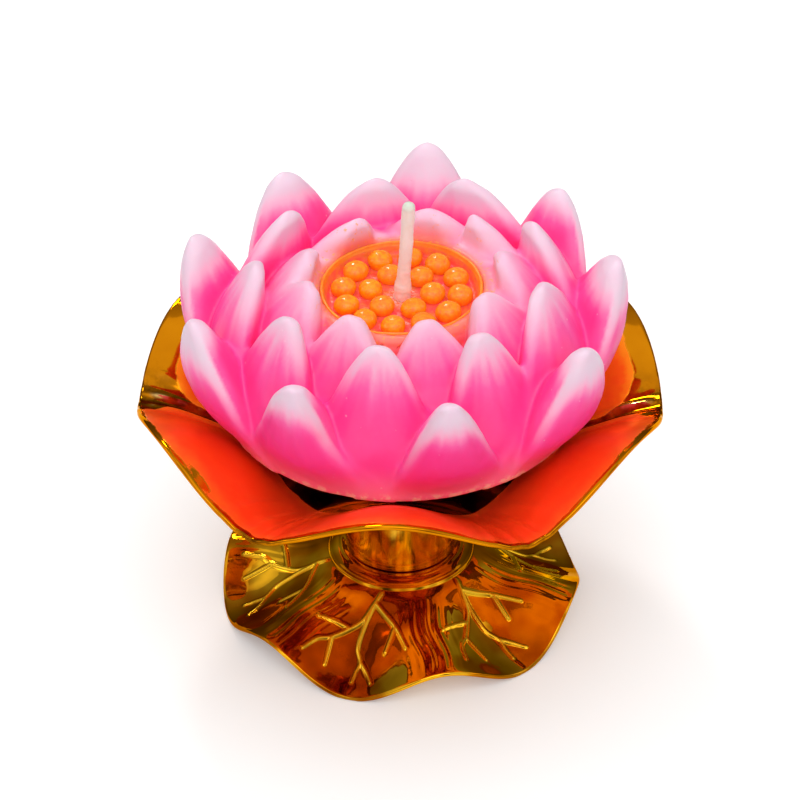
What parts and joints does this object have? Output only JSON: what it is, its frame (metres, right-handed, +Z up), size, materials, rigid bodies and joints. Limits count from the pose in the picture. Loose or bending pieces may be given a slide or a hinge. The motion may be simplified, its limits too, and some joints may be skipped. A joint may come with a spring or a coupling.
{
  "type": "lotus candle on a stand",
  "caption": "Pink wax lotus candle with an orange seed pod, resting in a gold petal bowl on a stem and leaf foot.",
  "frame": {"origin": "on the table under the centre of the leaf foot, which is also the middle of the petal bowl", "axes": "+Z up, -Y towards the viewer of the picture, +X to the viewer's right"},
  "size_m": [0.1116, 0.1114, 0.101],
  "materials": {
    "gold_foot": "gold metallised plastic, mirror gloss",
    "gold_stem": "gold metallised plastic, mirror gloss",
    "gold_bowl": "gold metallised plastic with translucent orange-red lacquer on the inside of each petal",
    "pink_wax": "cast wax, hot pink fading to lilac white at the petal tips",
    "orange_wax": "translucent orange wax",
    "seed_wax": "glossy orange seeds",
    "waxed_cotton": "off-white waxed cotton",
    "tin_plate": "plain tin plate"
  },
  "bodies": {
    "holder": {"leaf_foot": "gold_foot", "stem": "gold_stem", "petal_bowl": "gold_bowl"},
    "candle": {"lotus_wax_body": "pink_wax", "seed_pod": "orange_wax", "wick": "waxed_cotton", "wick_tab": "tin_plate", "seed_01": "seed_wax", "seed_02": "seed_wax", "seed_03": "seed_wax", "seed_04": "seed_wax", "seed_05": "seed_wax", "seed_06": "seed_wax", "seed_07": "seed_wax", "seed_08": "seed_wax", "seed_09": "seed_wax", "seed_10": "seed_wax", "seed_11": "seed_wax", "seed_12": "seed_wax", "seed_13": "seed_wax", "seed_14": "seed_wax", "seed_15": "seed_wax", "seed_16": "seed_wax", "seed_17": "seed_wax", "seed_18": "seed_wax"}
  },
  "joints": [
    {"name": "candle_lift", "type": "slide", "parent": "holder", "child": "candle", "axis": [0, 0, 1], "range_m": [0, 0.08]}
  ]
}
